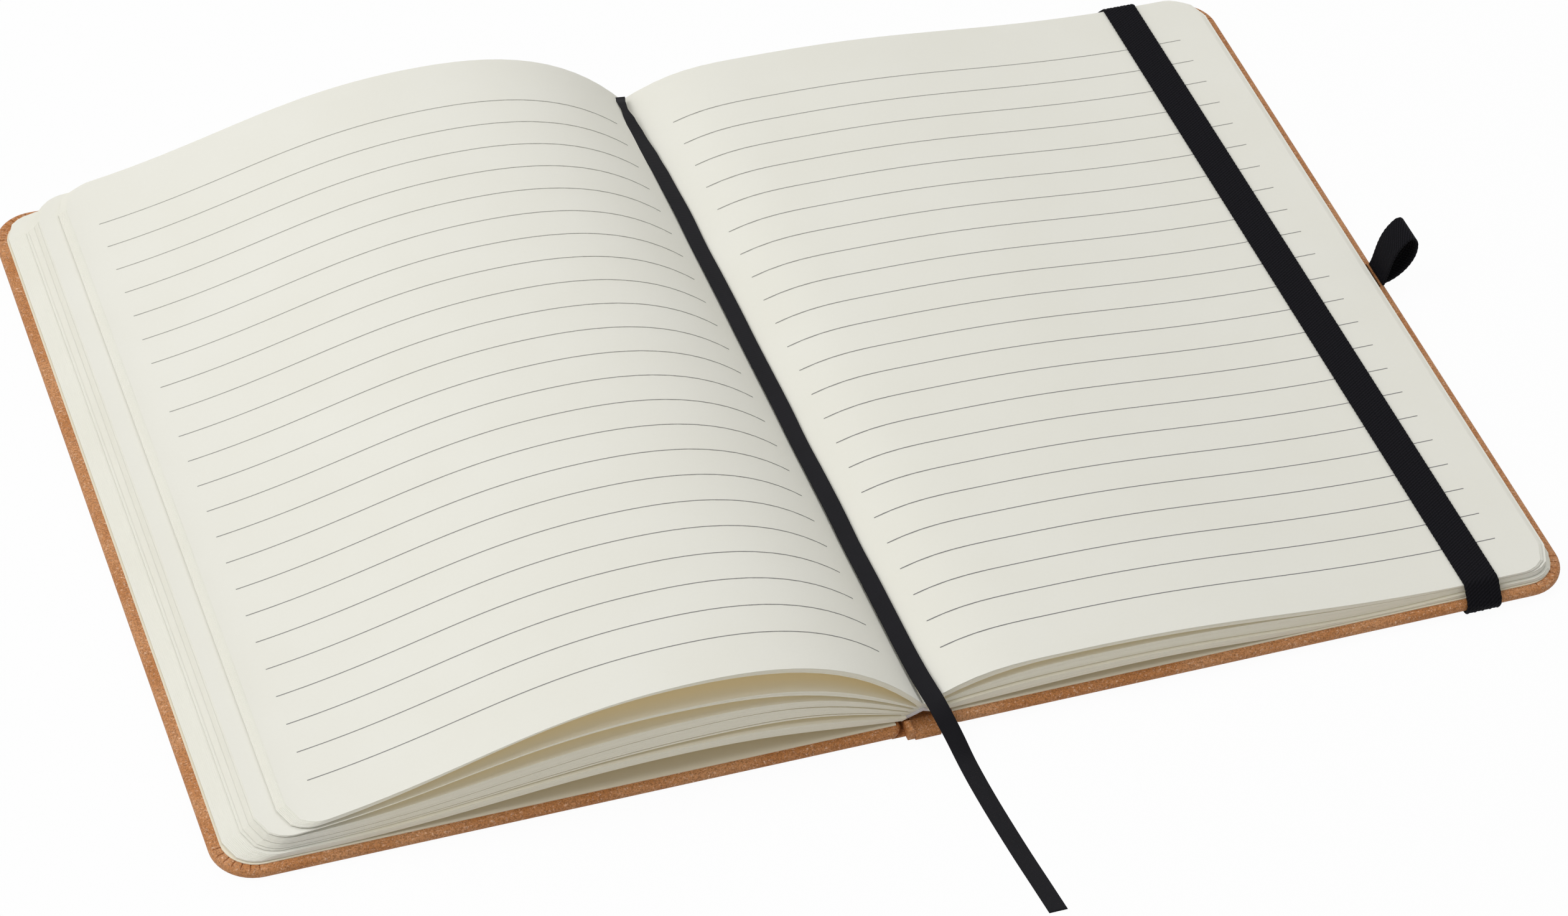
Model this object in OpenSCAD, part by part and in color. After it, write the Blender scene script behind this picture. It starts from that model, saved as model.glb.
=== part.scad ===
// A casebound hardcover notebook lying open near its middle.
// X runs from the front cover to the back cover, Y from tail to head, Z up from the table.
// The origin is the middle of the spine strip's underside.

/* [Cover] */
// Height of both covers, tail to head
cover_h = 223; // [180:1:260]
// Distance from the middle of the spine to each cover's fore-edge
cover_reach = 158.5; // [150:0.5:190]
// Thickness of a covered board
cover_t = 2.6; // [2.4:0.1:3.6]
// Thickness of the covering material
covering_t = 0.45; // [0.3:0.05:0.6]
// Radius of the rounded long edges of a covered board
cover_edge_r = 1.2; // [0.8:0.1:1.2]
// Radius of the outer corners of a cover
cover_corner_r = 10; // [6:0.5:14]
// Width of the covering turned in over the inside of a board
turn_in_w = 14; // [10:1:20]
// Thickness of the paper pasted inside each cover
paste_t = 0.2; // [0.15:0.05:0.4]
// Number of gathered pleats at each outer corner
corner_pleats = 7; // [5:1:12]
// Width of one pleat's crease
pleat_w = 0.5; // [0.3:0.1:0.8]
// Depth of one pleat's crease
pleat_d = 0.3; // [0.15:0.05:0.4]

/* [Spine] */
// Distance from the middle of the spine to the crease that the front cover turns on
crease_x = 4.4; // [4.2:0.1:4.5]
// Distance from the middle of the spine to the front covering's thick inner edge
front_lump_x = 4.6; // [4.55:0.05:5.6]
// Distance from the middle of the spine to the back covering's inner edge
back_lump_x = 5.9; // [5.6:0.1:6.4]
// Distance that each board stands back from its covering's inner edge
board_back = 1.5; // [1.2:0.1:2.4]
// Thickness of the spine card
card_t = 1.0; // [0.6:0.1:1.2]
// Left edge of the spine card, measured from the middle of the spine
card_left = 2.2; // [1.8:0.1:2.4]
// Right edge of the spine card, measured from the middle of the spine
card_right = 3.4; // [2.6:0.1:3.6]
// Distance that the spine strip stands out past each board, at head and tail
strip_out = 1.7; // [1:0.1:3]
// Width of the rolled covering beside the spine card
roll_w = 1.65; // [1.3:0.05:1.7]
// Height of the roll under the glued leaves
roll_low_h = 2.2; // [1.6:0.1:2.2]
// Height of the roll at its two ends, where the covering is doubled
roll_end_h = 3.2; // [2.4:0.1:3.6]
// Thickness of the lining glued to the back of the leaves
lining_t = 0.8; // [0.3:0.1:0.9]

/* [Leaves] */
// Margin of cover that shows past the leaves
square_w = 3; // [2:0.5:4]
// Radius of the leaves' outer corners
leaf_corner_r = 7.5; // [5:0.5:10]
// Gap between two groups of leaves where they lie on each other
leaf_gap = 0.12; // [0.08:0.02:0.14]
// Height of the left arch above the front cover
left_arch_h = 25.6; // [24:0.2:28]
// Height of the right arch above the front cover
right_arch_h = 10.2; // [10:0.1:11.6]

/* [Elastic] */
// Width of the closing band
band_w = 8.6; // [6:0.2:10]
// Thickness of the closing band
band_t = 0.6; // [0.4:0.1:0.8]
// Distance from each cover's fore-edge to the middle of the band
band_in = 23.7; // [21.5:0.1:38.5]
// Turn of the band away from the fore-edge's direction, in degrees
band_skew = 0.35; // [0:0.05:0.5]
// Distance from each cover edge to the slot that the band goes in by
slot_in = 16; // [15:1:26]
// Length of the band's glued ends inside the cover
band_tab = 12; // [8:1:16]
// Clearance round the elastic where it goes through the cover
elastic_fit = 0.1; // [0.05:0.05:0.2]

/* [Pen loop] */
// Width of the pen loop's elastic
loop_w = 8.4; // [6:0.2:10]
// Thickness of the pen loop's elastic
loop_t = 0.6; // [0.4:0.1:0.6]
// Place of the pen loop's middle along the fore-edge
loop_y = -1.4; // [-40:0.1:40]
// Length of the pen loop's glued ends inside the cover
loop_tab = 10; // [8:1:12]

/* [Ribbon] */
// Width of the bookmark ribbon
ribbon_w = 4.2; // [3:0.1:4.4]
// Thickness of the bookmark ribbon
ribbon_t = 0.3; // [0.2:0.05:0.4]

/* [Hidden] */
$fn = 48;
brown = "#b07a50";
cream = "#dfddd0";
greyboard = "#9b927f";
black = "#1a191d";
board_fit = 0.03;
lay_gap = 0.15;
curve_steps = 14;
curve_pull = 0.42;
// The band's short run under the back cover lifts that cover by the band's thickness
back_z = band_t;
page_z = cover_t + paste_t;
band_x = cover_reach - band_in;
page_h = cover_h - 2 * square_w;
leaf_reach = cover_reach - square_w;
strip_h = cover_h + 2 * strip_out;
spine_t = card_t + 2 * covering_t;
// Distance that the flat sheets and rolls of covering stop short of the rounded ends
end_in = 0.5;
// The way that the top leaves leave the glued spine and come down to the fore-edge, in degrees
left_rise = 50;
left_fall = 9;
// Distance from the leaves' fore-edge to where the lowest right leaves come down to the pastedown
right_low_in = 63;
// The leaves lie flat where the band presses on them, from this far on its inner side
band_flat = 2;

// Each line of leaves runs from the glued spine over its highest point to the fore-edge.
// A line is [start, angle up, highest point, end, angle down], out from the spine and up from
// the front pastedown.
left_fore = leaf_reach - 14.2;
line_top = [[-0.7, 3.5], left_rise, [51, left_arch_h], [left_fore - 2, 7.2], left_fall];
line_a = [[0.1, 2.7], left_rise - 1, [54, left_arch_h - 0.9], [left_fore + 0.5, 5.75], left_fall - 1];
line_b = [[0.3, 2.5], 34, [56, left_arch_h - 7.2], [leaf_reach - 8.5, 5.2], 3];
line_c = [[0.6, 2.3], 30, [58, left_arch_h - 8.0], [leaf_reach - 8.3, 4.8], 3];
line_d = [[0.9, 2.0], 28, [50, left_arch_h - 11.4], [leaf_reach - 7.9, 4.8 - leaf_gap], 0];
line_e = [[1.7, 1.7], 24, [46, left_arch_h - 13.65], [leaf_reach - 7, 3.35], -2];
line_f = [[1.9, 1.5], 23, [46, left_arch_h - 13.8], [leaf_reach - 6.8, 3.35 - leaf_gap], -2];
line_g = [[2.9, 1.1], 17, [46, left_arch_h - 17.5], [leaf_reach - 5, 1.7], -2];
line_h = [[3.2, 0.9], 13, [52, left_arch_h - 18.5], [leaf_reach - 4.8, 1.7 - leaf_gap], -2];
line_i = [[4.1, 0.3], 7, [54, left_arch_h - 20.5], [leaf_reach - 21, lay_gap], 1];
back_rise = back_z + 0.1;
right_flat = band_x - band_w / 2 - band_flat;
line_r = [[0.9, 3.5], 29, [37, right_arch_h], [right_flat, back_rise + 3.1], 2];
line_s = [[1.2, 2.6], 23, [38, right_arch_h - 0.95], [right_flat, back_rise + 2.2], 1];
line_t = [[1.4, 2.3], 16, [37, right_arch_h - 2.7], [right_flat, back_rise + 2.2 - leaf_gap], 0];
line_u = [[1.8, 2.0], 8, [45, right_arch_h - 5.6], [right_flat, back_rise + 0.9], -3];
line_v = [[1.9, 1.9], 7, [45, right_arch_h - 5.75], [right_flat, back_rise + 0.9 - leaf_gap], -3];
line_w = [[4.3, 1.05], 2, [52, right_arch_h - 7.6], [leaf_reach - right_low_in, back_rise], 1];
gutter = [0.8, 3.1];
spine_under = [[-4.2, 0.25], [0.8, 2.2], [4.4, 0.9]];
spine_glue_t = 1.3;

// The ribbon's points are [x, y, z, lean], the lean being the turn of its left edge upwards.
ribbon_route = [
    [0.2, 107, 9.9, 6], [0.1, 102.5, 9.7, 10], [0.2, 94.5, 9.0, 17], [0.4, 83.5, 8.6, 16],
    [0.6, 72.5, 8.5, 14], [0.9, 60.5, 8.5, 10], [0.8, 48.5, 8.5, 11], [1.0, 36.5, 8.5, 8],
    [1.1, 24.5, 8.5, 6], [1.1, 12.5, 8.5, 6], [1.2, 0.5, 8.5, 4], [1.3, -11.5, 8.5, 2],
    [1.2, -23.5, 8.5, 4], [1.4, -35.5, 8.5, 0], [1.5, -47.5, 8.5, -2], [1.4, -59.5, 8.5, 0],
    [1.6, -71.5, 8.5, -4], [1.7, -83.5, 8.5, -6], [1.8, -93.5, 8.5, -8], [2.0, -101.5, 8.6, -14],
    [2.3, -106.5, 8.7, -20], [2.8, -110, 8.2, -20], [3.6, -113.5, 6.6, -14], [4.9, -117.5, 3.6, -6],
    [5.8, -121.5, 1.2, 0], [6.2, -125.5, 0.35, 0], [6.5, -131.5, 0.2, 0], [7.0, -139.5, 0.2, 0],
    [7.9, -150.5, 0.2, 0], [8.9, -160.5, 0.2, 0], [9.7, -168.5, 0.2, 0]];

function bezier(a, b, c, d) = [for (i = [0:curve_steps]) let (t = i / curve_steps)
    pow(1 - t, 3) * a + 3 * t * pow(1 - t, 2) * b + 3 * t * t * (1 - t) * c + pow(t, 3) * d];

// Points of one line of leaves, from the spine to the fore-edge
function leaf_line(line, fore) =
    let (s = line[0], p = line[2], e = line[3])
    let (up = curve_pull * (p[0] - s[0]), down = curve_pull * (e[0] - p[0]))
    let (rise = s + up * [cos(line[1]), sin(line[1])], fall = e - down * [cos(line[4]), -sin(line[4])])
    let (first = bezier(s, rise, p - [up, 0], p), last = bezier(p, p + [down, 0], fall, e))
    concat(first, [for (i = [1:curve_steps]) last[i]], [[fore, e[1]]]);

function backwards(points) = [for (i = [len(points) - 1:-1:0]) points[i]];

// Rounded edge of a slab: reach is the distance from its inner side to the rounded side
module edge_profile(reach, t, r) {
    square([reach - r, t]);
    translate([0, r]) square([reach, t - 2 * r]);
    translate([reach - r, r]) circle(r);
    translate([reach - r, t - r]) circle(r);
}

// Slab from x = 0 at the joint to x = w at the fore-edge, with rounded edges and corners
module soft_slab(w, h, t, r, fore_r, joint_r) {
    reach = 2 * r;
    half = h / 2;
    for (side = [-1, 1]) {
        translate([w - fore_r, side * (half - fore_r), 0])
            rotate([0, 0, side > 0 ? 0 : -90])
                rotate_extrude(angle = 90) edge_profile(fore_r, t, r);
        translate([joint_r, side * (half - joint_r), 0])
            rotate([0, 0, side > 0 ? 90 : 180])
                rotate_extrude(angle = 90) edge_profile(joint_r, t, r);
        translate([side > 0 ? joint_r : w - fore_r, side * (half - reach), 0])
            rotate([90, 0, side * 90])
                linear_extrude(w - fore_r - joint_r) edge_profile(reach, t, r);
    }
    translate([w - reach, half - fore_r, 0]) rotate([90, 0, 0]) linear_extrude(h - 2 * fore_r)
        edge_profile(reach, t, r);
    translate([reach, joint_r - half, 0]) rotate([90, 0, 180]) linear_extrude(h - 2 * joint_r)
        edge_profile(reach, t, r);
    translate([joint_r, reach - half, 0]) cube([w - joint_r - fore_r, h - 2 * reach, t]);
    translate([reach, joint_r - half, 0]) cube([joint_r, h - 2 * joint_r, t]);
    translate([w - fore_r - reach, fore_r - half, 0]) cube([fore_r, h - 2 * fore_r, t]);
}

// Board inside a cover, made larger by grow where it is the space that the board fills
module board_form(lump_x, grow) {
    inset = covering_t - grow;
    translate([lump_x + board_back - grow, 0, inset])
        soft_slab(cover_reach - lump_x - board_back - covering_t + 2 * grow, cover_h - 2 * inset,
                  cover_t - 2 * inset, cover_edge_r - inset, cover_corner_r - inset, 2);
}

// Creases of the covering gathered round one outer corner
module corner_creases() {
    for (i = [0:corner_pleats - 1])
        rotate([0, 0, 90 * (i + 0.5) / corner_pleats])
            translate([cover_corner_r - square_w - 2, 0, cover_t])
                rotate([90, 0, 90]) linear_extrude(square_w + 3)
                    polygon([[-pleat_w / 2, pleat_d / 2], [pleat_w / 2, pleat_d / 2], [0, -pleat_d]]);
}

// Covering of one board, wrapped round three sides and turned in, open inside and at the joint
module board_covering(lump_x) {
    half = cover_h / 2;
    difference() {
        translate([lump_x, 0, 0])
            soft_slab(cover_reach - lump_x, cover_h, cover_t, cover_edge_r, cover_corner_r, 3);
        board_form(lump_x, board_fit);
        translate([lump_x - 1, turn_in_w - half, covering_t])
            cube([cover_reach - turn_in_w - lump_x + 1, cover_h - 2 * turn_in_w, cover_t]);
        for (side = [-1, 1])
            translate([cover_reach - cover_corner_r, side * (half - cover_corner_r), 0])
                rotate([0, 0, side > 0 ? 0 : -90]) corner_creases();
    }
}

// Sheet pasted inside a cover: it lies on the turned-in edges and dips to the board between them
module pastedown(lump_x) {
    inner_x = lump_x + board_back + 1;
    half = page_h / 2;
    dip_w = cover_reach - turn_in_w - inner_x;
    dip_half = cover_h / 2 - turn_in_w;
    low_z = cover_t - covering_t;
    difference() {
        translate([0, 0, low_z]) leaf_outline(inner_x, leaf_reach, covering_t + paste_t, half);
        translate([inner_x - 1, -cover_h, low_z - 1]) cube([leaf_reach, cover_h - dip_half, covering_t + 1]);
        translate([inner_x - 1, dip_half, low_z - 1]) cube([leaf_reach, cover_h, covering_t + 1]);
        translate([inner_x + dip_w, -cover_h, low_z - 1]) cube([turn_in_w, 2 * cover_h, covering_t + 1]);
        translate([inner_x - 1, paste_t - dip_half, low_z + paste_t])
            cube([dip_w - paste_t + 1, 2 * (dip_half - paste_t), covering_t + 1]);
    }
}

// Upright block with the outline of the leaves, from x0 out to the fore-edge
module leaf_outline(x0, fore, tall, half) {
    linear_extrude(tall) {
        translate([x0, -half]) square([fore - leaf_corner_r - x0, 2 * half]);
        translate([fore - leaf_corner_r - 1, leaf_corner_r - half])
            square([leaf_corner_r + 1, 2 * (half - leaf_corner_r)]);
        for (side = [-1, 1])
            translate([fore - leaf_corner_r, side * (half - leaf_corner_r)]) circle(leaf_corner_r);
    }
}

// One group of leaves between an upper and a lower line
module leaf_group(upper, lower, upper_fore, lower_fore) {
    fore = max(upper_fore, lower_fore);
    intersection() {
        rotate([90, 0, 0]) translate([0, 0, -page_h / 2]) linear_extrude(page_h)
            polygon(concat(leaf_line(upper, upper_fore), backwards(leaf_line(lower, lower_fore))));
        translate([0, 0, -1]) leaf_outline(-9, fore, left_arch_h + 10, page_h / 2);
    }
}

module front_covering() {
    color(brown) mirror([1, 0, 0]) {
        board_covering(front_lump_x);
        translate([crease_x, end_in - cover_h / 2, 0])
            cube([front_lump_x + board_back - crease_x + 1, cover_h - 2 * end_in, covering_t]);
    }
}

module front_board() {
    color(greyboard) mirror([1, 0, 0]) board_form(front_lump_x, 0);
}

module front_pastedown() {
    color(cream) mirror([1, 0, 0]) pastedown(front_lump_x);
}

// Slots that the band goes in by and the recesses of its glued ends, in the back board
module band_recess() {
    w = band_w + 2 * elastic_fit;
    slot_y = cover_h / 2 - slot_in;
    band_frame() for (side = [-1, 1]) mirror([0, side > 0 ? 0 : 1, 0]) {
        translate([-w / 2, slot_y - band_t - elastic_fit, -1]) cube([w, band_t + 2 * elastic_fit, cover_t + 2]);
        translate([-w / 2, slot_y - band_tab - elastic_fit, cover_t - covering_t - band_t])
            cube([w, band_tab, cover_t]);
    }
}

// Place and turn of the closing band
module band_frame() {
    translate([band_x, 0, 0]) rotate([0, 0, band_skew]) children();
}

// Pocket of the pen loop's two glued ends, which lie on each other
module loop_pocket() {
    w = loop_w + 2 * elastic_fit;
    pocket_x = leaf_reach + 1.6;
    translate([pocket_x - loop_tab, loop_y - w / 2, cover_t - 2 * loop_t - elastic_fit])
        cube([loop_tab, w, cover_t]);
}

module spine_strip_covering() {
    strip_left = card_left + board_fit;
    strip_right = card_right + board_fit;
    strip_half = strip_h / 2;
    wrap_w = strip_left + strip_right;
    // The sheet that runs on from the crease, under the card and up to the back cover
    rotate([90, 0, 0]) translate([0, 0, end_in - cover_h / 2]) linear_extrude(cover_h - 2 * end_in)
        polygon([[-crease_x, 0], [card_right, 0], [back_lump_x + 1, back_z],
                 [back_lump_x + 1, back_z + covering_t], [card_right, covering_t], [-crease_x, covering_t]]);
    // The strip round the card, doubled over the card's ends
    difference() {
        translate([-strip_left, 0, 0]) rotate([90, 0, 90]) linear_extrude(wrap_w + 0.2)
            mirrored_pair() edge_profile(strip_half, spine_t, spine_t / 2 - 0.01);
        translate([-strip_left, covering_t - board_fit - strip_half, covering_t - board_fit])
            cube([wrap_w, strip_h - 2 * (covering_t - board_fit), card_t + 2 * board_fit]);
        translate([-strip_left - 1, turn_in_w - strip_half, covering_t])
            cube([wrap_w + 2, strip_h - 2 * turn_in_w, spine_t]);
    }
    // The roll of covering beside the card, higher where it is doubled
    roll(strip_half - end_in, roll_low_h);
    for (side = [-1, 1])
        translate([0, side * (page_h / 2 + strip_half) / 2, 0])
            roll((strip_half - page_h / 2) / 2 - end_in, roll_end_h);
}

module mirrored_pair() {
    children();
    mirror([1, 0, 0]) children();
}

// Bead of covering along the left of the card, half_len to each side
module roll(half_len, tall) {
    r = roll_w / 2;
    translate([-card_left - r - board_fit, 0, 0]) intersection() {
        rotate([90, 0, 0]) translate([0, 0, -half_len]) linear_extrude(2 * half_len) {
            translate([-r, 0]) square([roll_w, tall - r]);
            translate([0, tall - r]) circle(r);
        }
        rotate([90, 0, 90]) translate([0, 0, -r - 1]) linear_extrude(roll_w + 2)
            mirrored_pair() edge_profile(half_len, tall, r - 0.05);
    }
}

module back_and_spine_covering() {
    color(brown) {
        translate([0, 0, back_z]) difference() {
            board_covering(back_lump_x);
            band_recess();
            loop_pocket();
        }
        spine_strip_covering();
    }
}

module back_board() {
    color(greyboard) translate([0, 0, back_z]) difference() {
        board_form(back_lump_x, 0);
        band_recess();
        loop_pocket();
    }
}

module spine_card() {
    color(greyboard) translate([-card_left, covering_t - strip_h / 2, covering_t])
        cube([card_left + card_right, strip_h - 2 * covering_t, card_t]);
}

module back_pastedown() {
    color(cream) translate([0, 0, back_z]) pastedown(back_lump_x);
}

// Sheet glued along the back of the leaves, which opens into a low upturned V
module spine_lining() {
    drop = [0, -lining_t];
    color("white") translate([0, 0, page_z]) rotate([90, 0, 0])
        translate([0, 0, -page_h / 2]) linear_extrude(page_h)
            polygon(concat(spine_under, [for (p = backwards(spine_under)) p + drop]));
}

module pages() {
    glue = [0, spine_glue_t];
    edge = spine_under;
    color(cream) translate([0, 0, page_z]) {
        rotate([90, 0, 0]) translate([0, 0, -page_h / 2]) linear_extrude(page_h)
            polygon([edge[0], edge[1], edge[2], edge[2] + glue, gutter, edge[0] + glue]);
        mirror([1, 0, 0]) {
            leaf_group(line_top, line_a, left_fore, left_fore + 2);
            leaf_group(line_b, line_c, leaf_reach - 7.5, leaf_reach - 7.2);
            leaf_group(line_d, line_e, leaf_reach - 7, leaf_reach - 6.2);
            leaf_group(line_f, line_g, leaf_reach - 6, leaf_reach - 4.2);
            leaf_group(line_h, line_i, leaf_reach - 3.8, leaf_reach);
        }
        leaf_group(line_r, line_s, leaf_reach - 2, leaf_reach - 1.2);
        leaf_group(line_t, line_u, leaf_reach - 0.4, leaf_reach - 0.2);
        leaf_group(line_v, line_w, leaf_reach, leaf_reach + 0.7);
    }
}

// Closing elastic: over the leaves, round the cover's edges, and in by the two slots
module elastic_band() {
    half = cover_h / 2;
    top_z = page_z + back_rise + 3.1 + 0.08;
    under_z = back_z;
    slot_y = half - slot_in;
    tab_z = back_z + cover_t - covering_t;
    color(black) band_frame() translate([-band_w / 2, 0, 0]) rotate([90, 0, 90]) linear_extrude(band_w)
        mirrored_pair() {
            difference() {
                offset(r = band_t) band_inside(half, under_z, top_z);
                band_inside(half, under_z, top_z);
                translate([-1, -band_t - 1]) square([slot_y - band_t + 1, under_z + band_t + 1.01]);
                translate([-half, -half]) square([half, cover_h]);
            }
            translate([slot_y - band_t, 0]) square([band_t, tab_z]);
            translate([slot_y - band_tab, tab_z - band_t]) square([band_tab, band_t]);
        }
}

// Half outline of what the band goes round, in Y and Z
module band_inside(half, under_z, top_z) {
    polygon([[-1, under_z], [half - 0.5, under_z], [half + 0.2, under_z + 0.5], [half + 0.3, under_z + 1.3],
             [half + 0.1, under_z + 2.5], [page_h / 2 + 0.3, top_z - 0.2], [page_h / 2, top_z], [-1, top_z]]);
}

// Elastic loop for a pen: it stands up from the fore-edge and leans outwards
module pen_loop() {
    root = [leaf_reach + 1.5, back_z + cover_t + 0.1];
    left = bezier(root, root + [1.3, 3], root + [0.6, 8.8], root + [4.5, 12.8]);
    crown = bezier(root + [4.5, 12.8], root + [6, 14.8], root + [9, 14.5], root + [9.2, 10.2]);
    right = bezier(root + [9.2, 10.2], root + [9.4, 5.4], root + [5.4, 0.9], root + [0.4, 0]);
    outline = concat(left, crown, right);
    neck = [[-loop_t, -0.2], [0, -0.2], [0.05, -0.1], [0.35, 0.1], [0.5, 0.7], [-0.05, 0.7]];
    color(black) translate([0, loop_y + loop_w / 2, 0]) rotate([90, 0, 0]) {
        linear_extrude(loop_w) difference() {
            polygon(outline);
            offset(delta = -loop_t) polygon(outline);
        }
        linear_extrude(loop_w) polygon([for (p = neck) root + p]);
        translate([root[0] - loop_tab + elastic_fit, root[1] - 0.1 - 2 * loop_t, 0])
            cube([loop_tab - elastic_fit, 2 * loop_t, loop_w]);
    }
}

// Flat ribbon swept along its route with eight sides
module bookmark_ribbon() {
    n = len(ribbon_route);
    half = ribbon_w / 2;
    thin = ribbon_t / 2;
    low = thin * 0.8;
    edge = [[-half, 0], [-half * 0.8, low], [0, thin], [half * 0.8, low],
            [half, 0], [half * 0.8, -low], [0, -thin], [-half * 0.8, -low]];
    points = [for (i = [0:n - 1]) let (here = ribbon_route[i], way = ribbon_way(i), lean = here[3])
        each [for (e = edge) let (side = [cos(lean), 0, -sin(lean)], up = cross(side, way))
            [here[0], here[1], here[2]] + e[0] * side + e[1] * up]];
    color("#222226") polyhedron(points, concat(
        [[for (k = [0:7]) k]],
        [for (i = [0:n - 2], k = [0:7]) let (a = i * 8 + k, b = i * 8 + (k + 1) % 8)
            each [[a, a + 8, b + 8], [a, b + 8, b]]],
        [[for (k = [7:-1:0]) (n - 1) * 8 + k]]));
}

// Unit direction of the ribbon at one of its points, from head to tail
function ribbon_way(i) =
    let (a = ribbon_route[max(i - 1, 0)], b = ribbon_route[min(i + 1, len(ribbon_route) - 1)])
    let (d = [b[0] - a[0], b[1] - a[1], b[2] - a[2]]) d / norm(d);

front_covering();
front_board();
front_pastedown();
back_and_spine_covering();
back_board();
spine_card();
back_pastedown();
spine_lining();
pages();
elastic_band();
pen_loop();
bookmark_ribbon();
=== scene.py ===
import math

import bmesh
import bpy
from mathutils import Matrix, Vector


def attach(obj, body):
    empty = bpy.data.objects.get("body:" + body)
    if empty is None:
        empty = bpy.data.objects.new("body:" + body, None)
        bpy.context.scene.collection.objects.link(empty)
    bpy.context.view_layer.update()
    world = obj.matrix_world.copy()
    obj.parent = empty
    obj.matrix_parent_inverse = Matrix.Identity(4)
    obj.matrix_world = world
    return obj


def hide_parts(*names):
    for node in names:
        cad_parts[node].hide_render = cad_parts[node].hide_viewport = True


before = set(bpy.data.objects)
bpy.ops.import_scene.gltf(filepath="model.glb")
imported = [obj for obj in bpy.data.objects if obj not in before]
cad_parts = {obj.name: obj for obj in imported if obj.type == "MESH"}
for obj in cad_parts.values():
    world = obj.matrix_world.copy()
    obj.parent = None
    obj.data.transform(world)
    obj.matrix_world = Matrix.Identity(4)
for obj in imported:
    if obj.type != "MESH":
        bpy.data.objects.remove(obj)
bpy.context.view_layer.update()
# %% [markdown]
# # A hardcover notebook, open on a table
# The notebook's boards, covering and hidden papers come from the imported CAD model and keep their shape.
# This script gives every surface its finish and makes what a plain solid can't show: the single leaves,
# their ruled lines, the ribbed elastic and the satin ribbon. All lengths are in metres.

MM = 0.001

# %% [markdown]
# ## The camera
# A photograph's perspective fixes where the camera stood. Its place, its turn and its long lens were
# worked out from the cover's edges and the ends of the ruled lines, so they are given here as real sizes
# and angles. The small shift stands for the photograph's crop.

# %% Camera
CAMERA_PLACE = Vector((-314.12, -808.60, 797.61)) * MM
CAMERA_YAW, CAMERA_PITCH, CAMERA_ROLL = 0.3808, 0.7540, 0.0673
LENS_MM, SENSOR_MM = 115.27, 36.0
CAMERA_SHIFT = (-0.0059, 0.0004)


def camera_turn(yaw, pitch, roll):
    """Turn of a camera from its heading, its downward tilt and its roll."""
    ahead = Vector((math.sin(yaw) * math.cos(pitch), math.cos(yaw) * math.cos(pitch), -math.sin(pitch)))
    level = Vector((math.cos(yaw), -math.sin(yaw), 0))
    above = level.cross(ahead)
    right = math.cos(roll) * level + math.sin(roll) * above
    up = math.cos(roll) * above - math.sin(roll) * level
    return Matrix((right, up, -ahead)).transposed().to_4x4()


camera = bpy.data.objects.new("photo_camera", bpy.data.cameras.new("photo_camera"))
bpy.context.scene.collection.objects.link(camera)
camera.matrix_world = Matrix.Translation(CAMERA_PLACE) @ camera_turn(CAMERA_YAW, CAMERA_PITCH, CAMERA_ROLL)
camera.data.sensor_width = SENSOR_MM
camera.data.lens = LENS_MM
camera.data.shift_x, camera.data.shift_y = CAMERA_SHIFT
camera.data.clip_start, camera.data.clip_end = 0.05, 20
bpy.context.scene.camera = camera

# %% [markdown]
# ## Light and table
# A product shot on white has very soft light from all round, with a little more from the upper left.
# A dim white world does most of it, and two large lamps give the paper its gentle slopes of tone. The
# background is plain white to the camera and in reflections, which adds no light to the notebook.

# %% Light and table
WORLD_STRENGTH = 0.42
LAMPS = {
    "key_lamp": {"place": (-1.0, 0.05, 1.2), "size": 1.2, "watts": 12.0},
    "fill_lamp": {"place": (0.55, 0.55, 1.4), "size": 1.2, "watts": 5.5},
}
scene = bpy.context.scene
scene.view_settings.view_transform = "Standard"
world = bpy.data.worlds.new("soft_room")
scene.world = world
world.use_nodes = True
backdrop = world.node_tree.nodes["Background"]
backdrop.inputs["Color"].default_value = (1, 1, 1, 1)
ray = world.node_tree.nodes.new("ShaderNodeLightPath")
seen = ray.outputs["Is Camera Ray"]
for kind in ("Is Glossy Ray", "Is Transmission Ray"):
    either = world.node_tree.nodes.new("ShaderNodeMath")
    either.operation = "MAXIMUM"
    world.node_tree.links.new(seen, either.inputs[0])
    world.node_tree.links.new(ray.outputs[kind], either.inputs[1])
    seen = either.outputs[0]
strength = world.node_tree.nodes.new("ShaderNodeMapRange")
world.node_tree.links.new(seen, strength.inputs["Value"])
strength.inputs["To Min"].default_value = WORLD_STRENGTH
strength.inputs["To Max"].default_value = 1.0
world.node_tree.links.new(strength.outputs["Result"], backdrop.inputs["Strength"])
for name, spec in LAMPS.items():
    lamp = bpy.data.objects.new(name, bpy.data.lights.new(name, "AREA"))
    lamp.data.shape = "DISK"
    lamp.data.size = spec["size"]
    lamp.data.energy = spec["watts"]
    lamp.location = spec["place"]
    lamp.rotation_euler = (-Vector(spec["place"])).to_track_quat("-Z", "Y").to_euler()
    scene.collection.objects.link(lamp)

# %% [markdown]
# ## Writing shaders as sums
# A material is a graph of nodes, and arithmetic written node by node is hard to read. A small class wraps
# one socket, so that an expression such as 1 - mask * 0.3 adds the Math nodes by itself. Every other node
# comes from one method that takes its settings and what goes into its sockets.


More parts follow.
